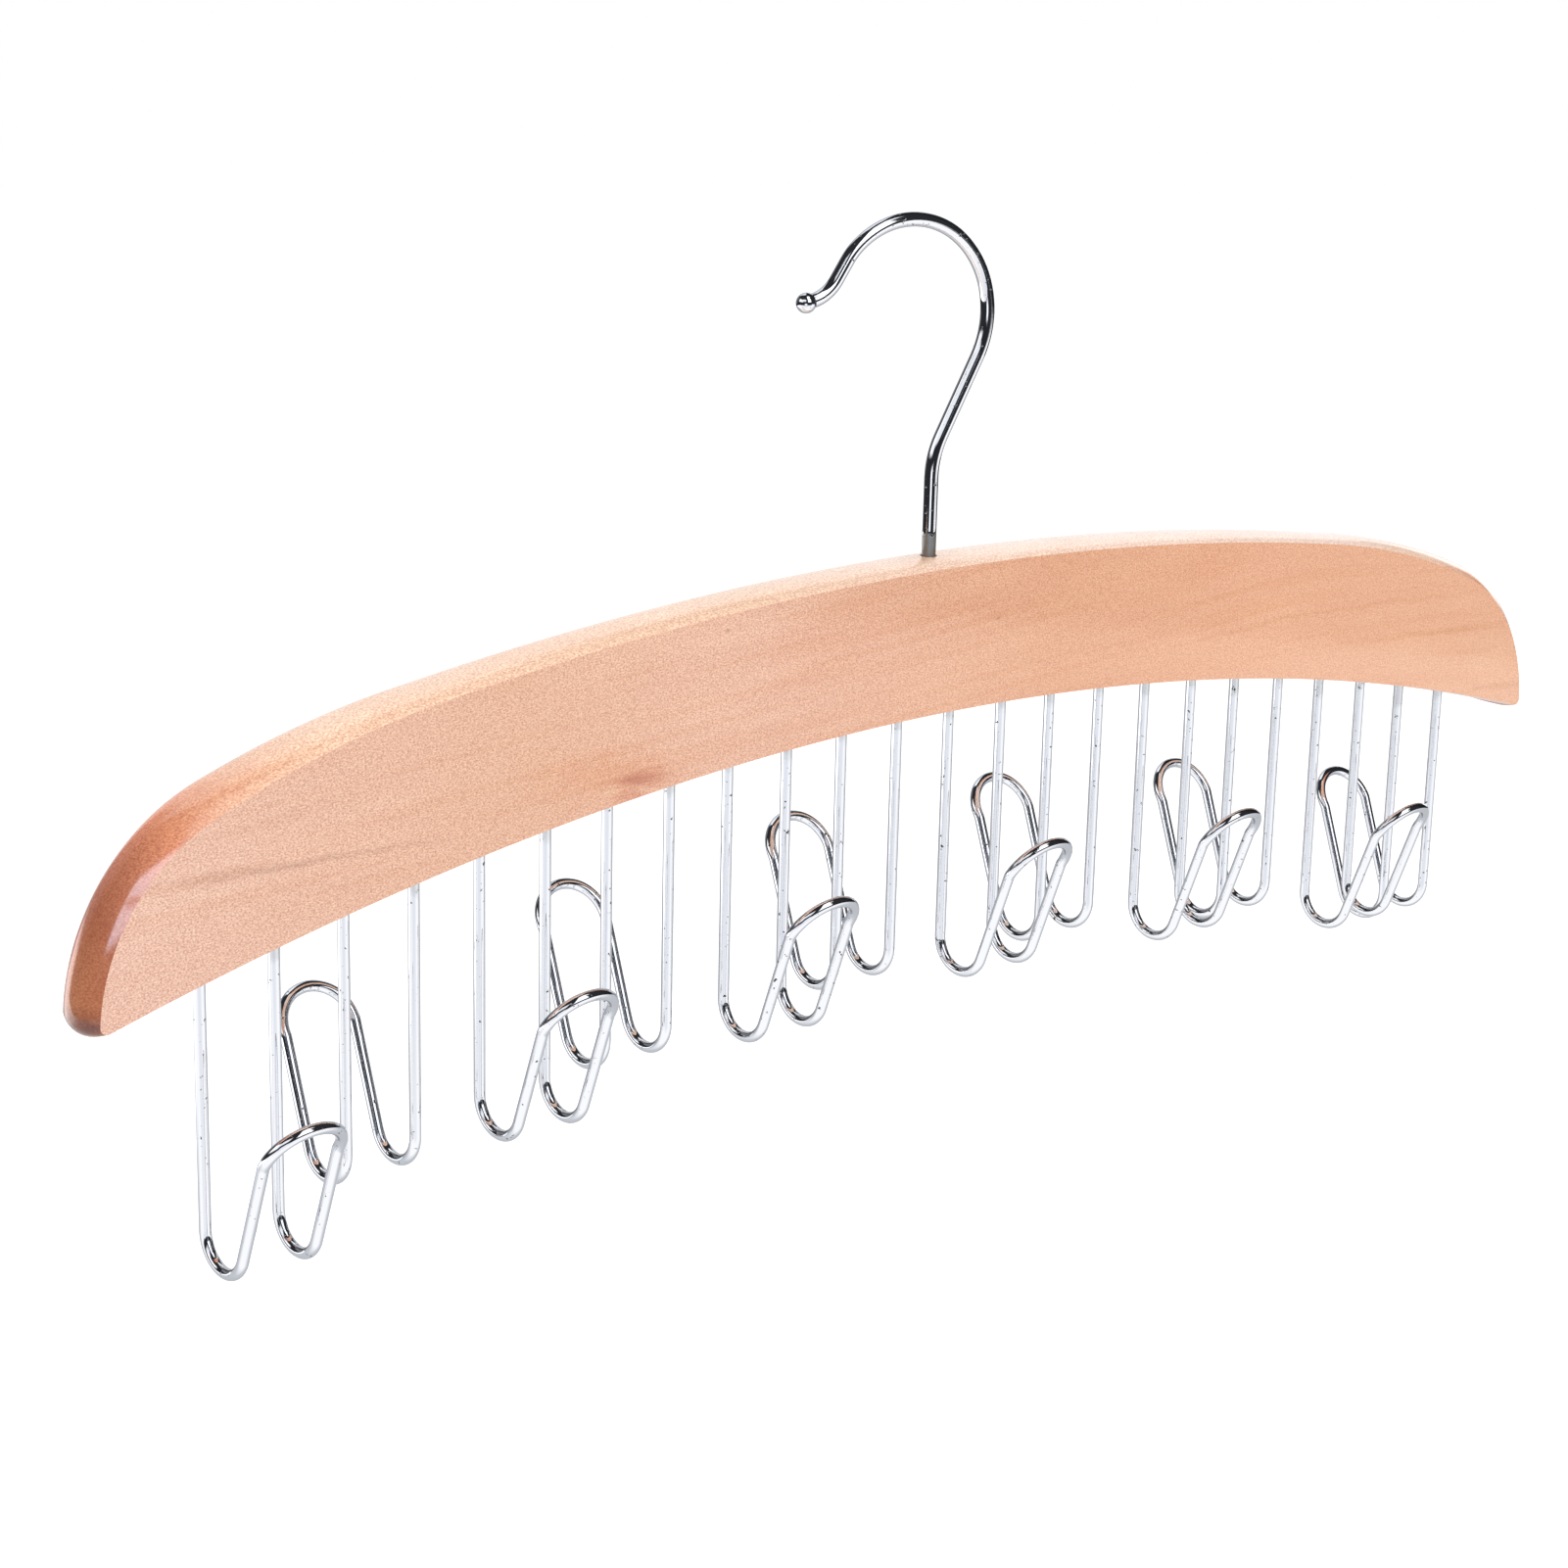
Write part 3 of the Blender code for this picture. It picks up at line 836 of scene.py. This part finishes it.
def even_shading(piece):
    """Keeps the creases sharp and the flat faces flat, and leaves the rest smooth."""
    piece.data.set_sharp_from_angle(angle=BAR_SHARP_ANGLE)
    even = piece.modifiers.new("even_shading", "WEIGHTED_NORMAL")
    even.keep_sharp = True
    keep_shown_mesh(piece)


def build_bar(finish):
    mesh = mesh_from("sanded_bar", bar_blank())
    bar = add_piece("sanded_bar", mesh, finish, "hanger_bar")
    drill(bar, (leg_bores(), stem_bore(), counterbore()))
    even_shading(bar)
    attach(bar, "bar")


# Wires


class Path:
    """A path drawn in a plane by straight runs and arcs, heading measured from straight up."""

    def __init__(self, across, height):
        self.place = Vector((across, height))
        self.heading = 0.0
        self.points = [self.place.copy()]

    def ahead(self, length):
        step = Vector((math.sin(self.heading), math.cos(self.heading)))
        self.place = self.place + step * length
        self.points.append(self.place.copy())

    def turn(self, radius, angle):
        """An arc that turns by angle, clockwise where angle is positive."""
        count = max(1, math.ceil(abs(angle) / WIRE_TURN_STEP))
        step = angle / count
        chord = 2 * radius * math.sin(abs(step) / 2)
        for _ in range(count):
            self.heading += step / 2
            self.ahead(chord)
            self.heading += step / 2


def tube(name, points, radii, sides):
    """A closed round tube along points, with a radius at each. Its rings turn as little as they can."""
    shape = bmesh.new()
    rings = []
    side_way = None
    for index, place in enumerate(points):
        before = points[max(index - 1, 0)]
        after = points[min(index + 1, len(points) - 1)]
        along = (after - before).normalized()
        if side_way is None:
            side_way = along.orthogonal().normalized()
        side_way = (side_way - along * side_way.dot(along)).normalized()
        other_way = along.cross(side_way)
        ring = []
        for step in range(sides):
            angle = math.tau * step / sides
            spoke = side_way * math.cos(angle) + other_way * math.sin(angle)
            ring.append(shape.verts.new(place + spoke * radii[index]))
        rings.append(ring)
    for near, far in zip(rings, rings[1:]):
        for step in range(sides):
            after = (step + 1) % sides
            shape.faces.new((near[step], near[after], far[after], far[step]))
    shape.faces.new(rings[0][::-1])
    shape.faces.new(rings[-1])
    bmesh.ops.recalc_face_normals(shape, faces=shape.faces)
    return mesh_from(name, shape)


def hook_path():
    """The big hook's centre line in its own plane, from where the stem leaves the bar at height 0."""
    path = Path(0, HOOK_LOW.z - BAR_TOP_Z)
    path.ahead(STEM_RISE - path.place.y)
    path.turn(NECK_RADIUS, NECK_ANGLE)
    path.ahead(NECK_RUN)
    path.turn(EYE_RADIUS, -EYE_SWEEP)
    path.turn(MOUTH_RADIUS, -MOUTH_SWEEP)
    path.ahead(TIP_RUN)
    path.turn(CURL_RADIUS, CURL_SWEEP)
    return path


def build_hook(finish):
    path = hook_path()
    wire = HOOK_WIRE / 2
    flat = list(path.points)
    radii = [wire] * len(flat)
    start = math.asin(wire / BALL_RADIUS)
    reach = BALL_RADIUS * math.cos(start)
    heading = Vector((math.sin(path.heading), math.cos(path.heading)))
    for index in range(1, BALL_STEPS + 1):
        angle = start + (BALL_END_ANGLE - start) * index / BALL_STEPS
        flat.append(path.place + heading * (reach - BALL_RADIUS * math.cos(angle)))
        radii.append(BALL_RADIUS * math.sin(angle))
    points = [Vector((place.x, 0, place.y)) for place in flat]
    mesh = tube("polished_hook", points, radii, HOOK_SIDES)
    hook = add_piece("polished_hook", mesh, finish, "swivel_hook")
    mesh.set_sharp_from_angle(angle=SHARP_ANGLE)
    hook.matrix_world = Matrix.Translation((0, 0, BAR_TOP_Z)) @ Matrix.Rotation(HOOK_REST_TURN, 4, "Z")
    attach(hook, "hook")


def belt_side_points():
    """Leg, bend, arm and kink of a front belt hook, as (y, z) from its mouth in the wood."""
    path = Path(0, LEG_DEPTH)
    path.heading = -math.pi
    path.ahead(LEG_DEPTH + LEG_DROP - BEND_DIAMETER / 2)
    path.turn(BEND_DIAMETER / 2, math.pi - ARM_LEAN)
    path.ahead(ARM_RUN)
    path.turn(KINK_RADIUS, ARM_LEAN - ARCH_TILT)
    return path.points


def belt_hook_points():
    side = belt_side_points()
    reach = LEG_SPACING / 2
    points = [Vector((-reach, place.x, place.y)) for place in side]
    base = Vector((0, side[-1].x, side[-1].y))
    outward = Vector((0, -math.sin(ARCH_TILT), math.cos(ARCH_TILT)))
    steps = math.ceil(math.pi / WIRE_TURN_STEP)
    for index in range(1, steps):
        angle = math.pi * index / steps
        across = Vector((-math.cos(angle) * reach, 0, 0))
        points.append(base + across + outward * math.sin(angle) * reach)
    points += [Vector((reach, place.x, place.y)) for place in reversed(side)]
    return points


def belt_hook_names():
    return sorted(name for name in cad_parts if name.startswith("belt_hook"))


def build_belt_hooks(finish):
    """Front and rear hooks take turns along the row. A rear hook is a front one turned round."""
    points = belt_hook_points()
    for name in belt_hook_names():
        mesh = tube(f"bent_{name}", points, [BELT_WIRE / 2] * len(points), BELT_SIDES)
        hook = add_piece(f"bent_{name}", mesh, finish, name)
        mesh.set_sharp_from_angle(angle=SHARP_ANGLE)
        low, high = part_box(name)
        place = Matrix.Translation(((low.x + high.x) / 2, 0, high.z - LEG_DEPTH))
        if "rear" in name:
            place = place @ Matrix.Rotation(math.pi, 4, "Z")
        hook.matrix_world = place
        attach(hook, "bar")


# The washer and the nut under the stem


def turned_ring(name, bottom, top, outer_at):
    """A ring round the stem. outer_at gives its outer radius by the angle and the depth below an end."""
    bore = HOOK_WIRE / 2 + CLEARANCE
    # Each point of the profile is a radius and a depth, and None stands for the outer radius.
    profile = [(bore, CHAMFER), (bore + CHAMFER, 0), (None, 0), (None, CHAMFER / 2), (None, CHAMFER)]
    levels = [(radius, bottom + depth, depth) for radius, depth in profile]
    levels += [(radius, top - depth, depth) for radius, depth in reversed(profile)]
    shape = bmesh.new()
    rings = []
    for radius, level, depth in levels:
        ring = []
        for step in range(TURNED_SIDES):
            angle = math.tau * step / TURNED_SIDES
            reach = outer_at(angle, depth) if radius is None else radius
            ring.append(shape.verts.new((reach * math.cos(angle), reach * math.sin(angle), level)))
        rings.append(ring)
    for near, far in zip(rings, rings[1:] + rings[:1]):
        for step in range(TURNED_SIDES):
            after = (step + 1) % TURNED_SIDES
            shape.faces.new((near[step], near[after], far[after], far[step]))
    bmesh.ops.recalc_face_normals(shape, faces=shape.faces)
    return mesh_from(name, shape)


def washer_reach(_, depth):
    """The washer's stamped edge, rounded at top and bottom."""
    inset = CHAMFER - depth
    return WASHER_HIGH.x - (CHAMFER - math.sqrt(max(CHAMFER ** 2 - inset ** 2, 0)))


def nut_reach(angle, depth):
    """A hexagon whose corners are turned off at top and bottom."""
    side = math.tau / HEX_SIDES
    from_flat = (angle + side / 2) % side - side / 2
    flat = NUT_ACROSS_FLATS / 2
    return min(flat / math.cos(from_flat), flat + depth / math.tan(NUT_CHAMFER_SLOPE))


def build_stem_fixings(finish):
    for name, low, high, reach in (
        ("stem_washer", WASHER_LOW, WASHER_HIGH, washer_reach),
        ("stem_nut", NUT_LOW, NUT_HIGH, nut_reach),
    ):
        mesh = turned_ring(f"plated_{name}", low.z, high.z, reach)
        ring = add_piece(f"plated_{name}", mesh, finish, name)
        mesh.set_sharp_from_angle(angle=SHARP_ANGLE)
        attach(ring, "hook")


# The studio: a pale floor below, a white surround, soft lamps, and what gloss mirrors
WHITE = linear("FFFFFF")
SURROUND_STRENGTH = 0.74
FLOOR_DROP = 0.35
FLOOR_RADIUS = 6.0
DISC_SIDES = 96
FLOOR_COLOUR = linear("F5F5F5")
FLOOR_GLOW = 0.45

# The white sheet close under the hanger. It glows less towards the rear, from SHEET_FRONT_Y to
# SHEET_REAR_Y, but more in its left rear corner, from SHEET_CORNER_X to SHEET_LEFT_X.
SHEET_DROP = 25 * MM
SHEET_RADIUS = 0.57
SHEET_FRONT_Y = 60 * MM
SHEET_REAR_Y = 170 * MM
SHEET_CORNER_X = -195 * MM
SHEET_LEFT_X = -235 * MM
SHEET_REAR_STRENGTH = 0.7
SHEET_CORNER_STRENGTH = 2.4

# What gloss mirrors in the dark room round the hanger, each later patch over those before it: its
# name, the gloss that shows it, its span by azimuth from the front and by elevation, in degrees, its
# brightness and its tint. Some show in the lacquer's soft gloss or in the chrome's sharp one alone,
# as the photograph has them.
ROOM_COLOUR = linear("2A2B2E")
PATCH_SOFTNESS = math.radians(4)
MIRRORED_PATCHES = (
    ("white_wall", "both", (115, 176), (-90, 36), 1.0, "FFFFFF"),
    ("left_rear_glow", "both", (176, 206), (-8, 32), 0.3, "FFFFFF"),
    ("rear_top_card", "both", (139, 188), (36, 74), 1.2, "FFFFFF"),
    ("overhead_card", "both", (-20, 44), (58, 78), 1.2, "FFFFFF"),
    ("front_softbox", "both", (-18, 18), (14, 62), 2.0, "FFFFFF"),
    ("right_card", "both", (101, 117), (-4, 14), 2.4, "FFFFFF"),
    ("far_floor", "both", (-200, 200), (-90, -20), 1.0, "FFFFFF"),
    ("left_rear_card", "lacquer", (184, 204), (-24, 1), 2.9, "FFF0EE"),
    ("window", "lacquer", (-60, -16), (15, 46), 8.0, "DFECFF"),
    ("left_softbox", "chrome", (-130, -74), (12, 36), 1.1, "FFFFFF"),
    ("lens_side_card", "chrome", (-54, -30), (-16, -2), 1.4, "FFFFFF"),
    ("left_front_softbox", "chrome", (-82, -42), (20, 42), 1.1, "FFFFFF"),
    ("right_low_card", "chrome", (24, 72), (-26, -9), 1.2, "FFFFFF"),
)
# A ray that meets the surround straight after the lacquer has depth 2, and each further bounce adds
# one. A ray that chrome mirrored adds SHARP_STEP, so that only the lacquer's first one is below this.
SHARP_STEP = 2.0
FIRST_SOFT_LIMIT = 2.5


def build_surround():
    """White to the camera, plain to the object's matt surfaces, and a patterned studio to its gloss."""
    world = bpy.data.worlds.new("pale_studio")
    bpy.context.scene.world = world
    world.use_nodes = True
    tree = world.node_tree
    tree.nodes.clear()
    ray = add_node(tree, "ShaderNodeLightPath").outputs
    plain = add_node(tree, "ShaderNodeBackground", {"Color": WHITE, "Strength": SURROUND_STRENGTH})
    mirrored = add_node(
        tree, "ShaderNodeBackground", {"Strength": 1.0}, {"Color": mirrored_studio(tree, ray)}
    )
    white = add_node(tree, "ShaderNodeBackground", {"Color": WHITE, "Strength": 1.0})
    inner = add_node(
        tree, "ShaderNodeMixShader",
        links={0: ray["Is Glossy Ray"], 1: plain.outputs[0], 2: mirrored.outputs[0]},
    )
    outer = add_node(
        tree, "ShaderNodeMixShader",
        links={0: ray["Is Camera Ray"], 1: inner.outputs[0], 2: white.outputs[0]},
    )
    add_node(tree, "ShaderNodeOutputWorld", links={"Surface": outer.outputs[0]})


def gloss_shares(tree, ray):
    """Which rays each kind of gloss sends, for the patches that only one of them shows."""
    later = add_node(
        tree, "ShaderNodeMath", {"operation": "MULTIPLY_ADD", 1: SHARP_STEP},
        {0: ray["Is Singular Ray"], 2: ray["Ray Depth"]},
    )
    soft = add_node(
        tree, "ShaderNodeMath", {"operation": "LESS_THAN", 1: FIRST_SOFT_LIMIT}, {0: later.outputs[0]}
    )
    return {"chrome": ray["Is Singular Ray"], "lacquer": soft.outputs[0]}


def patch_cover(tree, angles, spans):
    """1 where both angles lie in their spans of degrees and 0 elsewhere, with soft edges."""
    covers = []
    for angle, (low, high) in zip(angles, spans):
        middle, half = math.radians(low + high) / 2, math.radians(high - low) / 2
        offset = add_node(
            tree, "ShaderNodeMath", {"operation": "SUBTRACT", 1: middle}, {0: angle.outputs[0]}
        )
        wrapped = add_node(
            tree, "ShaderNodeMath", {"operation": "WRAP", 1: math.pi, 2: -math.pi},
            {0: offset.outputs[0]},
        )
        away = add_node(tree, "ShaderNodeMath", {"operation": "ABSOLUTE"}, {0: wrapped.outputs[0]})
        cover = add_node(
            tree, "ShaderNodeMapRange",
            {
                "interpolation_type": "SMOOTHSTEP",
                "From Min": half + PATCH_SOFTNESS, "From Max": half - PATCH_SOFTNESS,
            },
            {"Value": away.outputs[0]},
        )
        covers.append(cover.outputs[0])
    return add_node(tree, "ShaderNodeMath", {"operation": "MULTIPLY"}, {0: covers[0], 1: covers[1]})


def mirrored_studio(tree, ray):
    """A dark room with a white wall and softboxes in it, by the direction from the object."""
    way = add_node(tree, "ShaderNodeTexCoord").outputs["Generated"]
    apart = add_node(tree, "ShaderNodeSeparateXYZ", links={0: way}).outputs
    elevation = add_node(tree, "ShaderNodeMath", {"operation": "ARCSINE"}, {0: apart["Z"]})
    front = add_node(tree, "ShaderNodeMath", {"operation": "MULTIPLY", 1: -1.0}, {0: apart["Y"]})
    azimuth = add_node(
        tree, "ShaderNodeMath", {"operation": "ARCTAN2"}, {0: apart["X"], 1: front.outputs[0]}
    )
    shares = gloss_shares(tree, ray)
    below = None
    for name, gloss, across, up, brightness, tint in MIRRORED_PATCHES:
        cover = patch_cover(tree, (azimuth, elevation), (across, up))
        if gloss in shares:
            cover = add_node(
                tree, "ShaderNodeMath", {"operation": "MULTIPLY"},
                {0: cover.outputs[0], 1: shares[gloss]},
            )
        cover.label = name
        colour = [brightness * share for share in linear(tint)]
        patch = add_node(
            tree, "ShaderNodeMixRGB", {"Color1": ROOM_COLOUR, "Color2": colour},
            {"Fac": cover.outputs[0]},
        )
        if below:
            tree.links.new(below.outputs[0], patch.inputs["Color1"])
        below = patch
    return below.outputs[0]


def add_stage_disc(name, radius, height, material):
    """A flat round stage piece under the hanger."""
    shape = bmesh.new()
    bmesh.ops.create_circle(shape, cap_ends=True, segments=DISC_SIDES, radius=radius)
    mesh = mesh_from(name, shape)
    mesh.materials.append(material)
    disc = bpy.data.objects.new(name, mesh)
    bpy.context.scene.collection.objects.link(disc)
    disc.location = (0, 0, height)
    return disc


def build_mirrored_sheet():
    """The white sheet that lies close under the hanger. Only its mirror image in the gloss is shown."""
    material, tree = new_finish("white_sheet")
    place = add_node(tree, "ShaderNodeTexCoord").outputs["Object"]
    apart = add_node(tree, "ShaderNodeSeparateXYZ", links={0: place}).outputs
    rear, left = [
        add_node(
            tree, "ShaderNodeMapRange",
            {"interpolation_type": "SMOOTHSTEP", "From Min": start, "From Max": full},
            {"Value": apart[axis]},
        ).outputs[0]
        for axis, start, full in (("Y", SHEET_FRONT_Y, SHEET_REAR_Y), ("X", SHEET_CORNER_X, SHEET_LEFT_X))
    ]
    rear_strength = add_node(
        tree, "ShaderNodeMapRange",
        {"To Min": SHEET_REAR_STRENGTH, "To Max": SHEET_CORNER_STRENGTH}, {"Value": left},
    )
    strength = add_node(
        tree, "ShaderNodeMapRange", {"To Min": 1.0}, {"Value": rear, "To Max": rear_strength.outputs[0]}
    )
    glow = add_node(tree, "ShaderNodeEmission", {"Color": WHITE}, {"Strength": strength.outputs[0]})
    add_node(tree, "ShaderNodeOutputMaterial", links={"Surface": glow.outputs[0]})
    sheet = add_stage_disc("white_sheet", SHEET_RADIUS, CAD_BOX[0].z - SHEET_DROP, material)
    sheet.visible_camera = False
    sheet.visible_diffuse = False
    sheet.visible_shadow = False
    sheet.visible_transmission = False


def build_floor():
    """A pale matt floor, white to the camera but for the hanger's shadow, and clear from below."""
    material, tree = new_finish("pale_floor_matt")
    ray = add_node(tree, "ShaderNodeLightPath").outputs
    matt = add_node(tree, "ShaderNodeBsdfDiffuse", {"Color": FLOOR_COLOUR})
    share = add_node(
        tree, "ShaderNodeMath", {"operation": "MULTIPLY", 1: FLOOR_GLOW}, {0: ray["Is Camera Ray"]}
    )
    glow = add_node(tree, "ShaderNodeEmission", {"Color": WHITE}, {"Strength": share.outputs[0]})
    lit = add_node(tree, "ShaderNodeAddShader", links={0: matt.outputs[0], 1: glow.outputs[0]})
    clear = add_node(tree, "ShaderNodeBsdfTransparent")
    under = add_node(tree, "ShaderNodeNewGeometry").outputs["Backfacing"]
    sided = add_node(
        tree, "ShaderNodeMixShader", links={0: under, 1: lit.outputs[0], 2: clear.outputs[0]}
    )
    add_node(tree, "ShaderNodeOutputMaterial", links={"Surface": sided.outputs[0]})
    floor = add_stage_disc("pale_floor", FLOOR_RADIUS, CAD_BOX[0].z - FLOOR_DROP, material)
    floor.visible_glossy = False


# Soft lamps: azimuth and elevation seen from the hanger in degrees, distance and side in metres,
# and power in watts. They light the matt surfaces only, because the surround holds their mirror images.
LAMPS = (
    ("front_lamp", -35, 30, 1.5, 1.0, 6.0),
    ("overhead_lamp", 60, 70, 1.4, 1.2, 7.6),
    ("left_lamp", -100, 15, 1.6, 1.0, 2.4),
)


def build_lamps():
    middle = (CAD_BOX[0] + CAD_BOX[1]) / 2
    for name, azimuth, elevation, distance, side, power in LAMPS:
        turn = math.radians(azimuth)
        rise = math.radians(elevation)
        way = Vector((math.sin(turn) * math.cos(rise), -math.cos(turn) * math.cos(rise), math.sin(rise)))
        lamp = bpy.data.lights.new(name, "AREA")
        lamp.shape = "SQUARE"
        lamp.size = side
        lamp.energy = power
        holder = bpy.data.objects.new(name, lamp)
        bpy.context.scene.collection.objects.link(holder)
        holder.location = middle + way * distance
        holder.rotation_euler = (-way).to_track_quat("-Z", "Y").to_euler()
        holder.visible_glossy = False


def build_camera():
    """The photograph's camera. Its back points from the hanger to the lens."""
    sine, cosine = math.sin(CAMERA_AZIMUTH), math.cos(CAMERA_AZIMUTH)
    flat = math.cos(CAMERA_ELEVATION)
    back = Vector((sine * flat, -cosine * flat, math.sin(CAMERA_ELEVATION)))
    level = Vector((cosine, sine, 0))
    above = back.cross(level)
    right = level * math.cos(CAMERA_ROLL) + above * math.sin(CAMERA_ROLL)
    up = above * math.cos(CAMERA_ROLL) - level * math.sin(CAMERA_ROLL)
    camera = bpy.data.cameras.new("photograph_camera")
    camera.lens = CAMERA_LENS
    camera.sensor_width = CAMERA_SENSOR
    holder = bpy.data.objects.new("photograph_camera", camera)
    bpy.context.scene.collection.objects.link(holder)
    turned = Matrix((right, up, back)).transposed().to_4x4()
    holder.matrix_world = Matrix.Translation(CAMERA_AIM + back * CAMERA_DISTANCE) @ turned
    bpy.context.scene.camera = holder


def write_sizes():
    """Brings the view layer up to date."""
    bpy.context.view_layer.update()


build_camera()
build_bar(lacquered_maple())
build_hook(bright_chrome("bright_chrome_hook", HOOK_DULL_Z, HOOK_DULLNESS, HOOK_PEEL))
build_belt_hooks(bright_chrome("bright_chrome_belt_hooks", BELT_DULL_Z, BELT_DULLNESS, BELT_PEEL))
build_stem_fixings(zinc_plated_steel())
build_surround()
build_floor()
build_mirrored_sheet()
build_lamps()
bpy.context.scene.view_settings.view_transform = "Standard"
write_sizes()
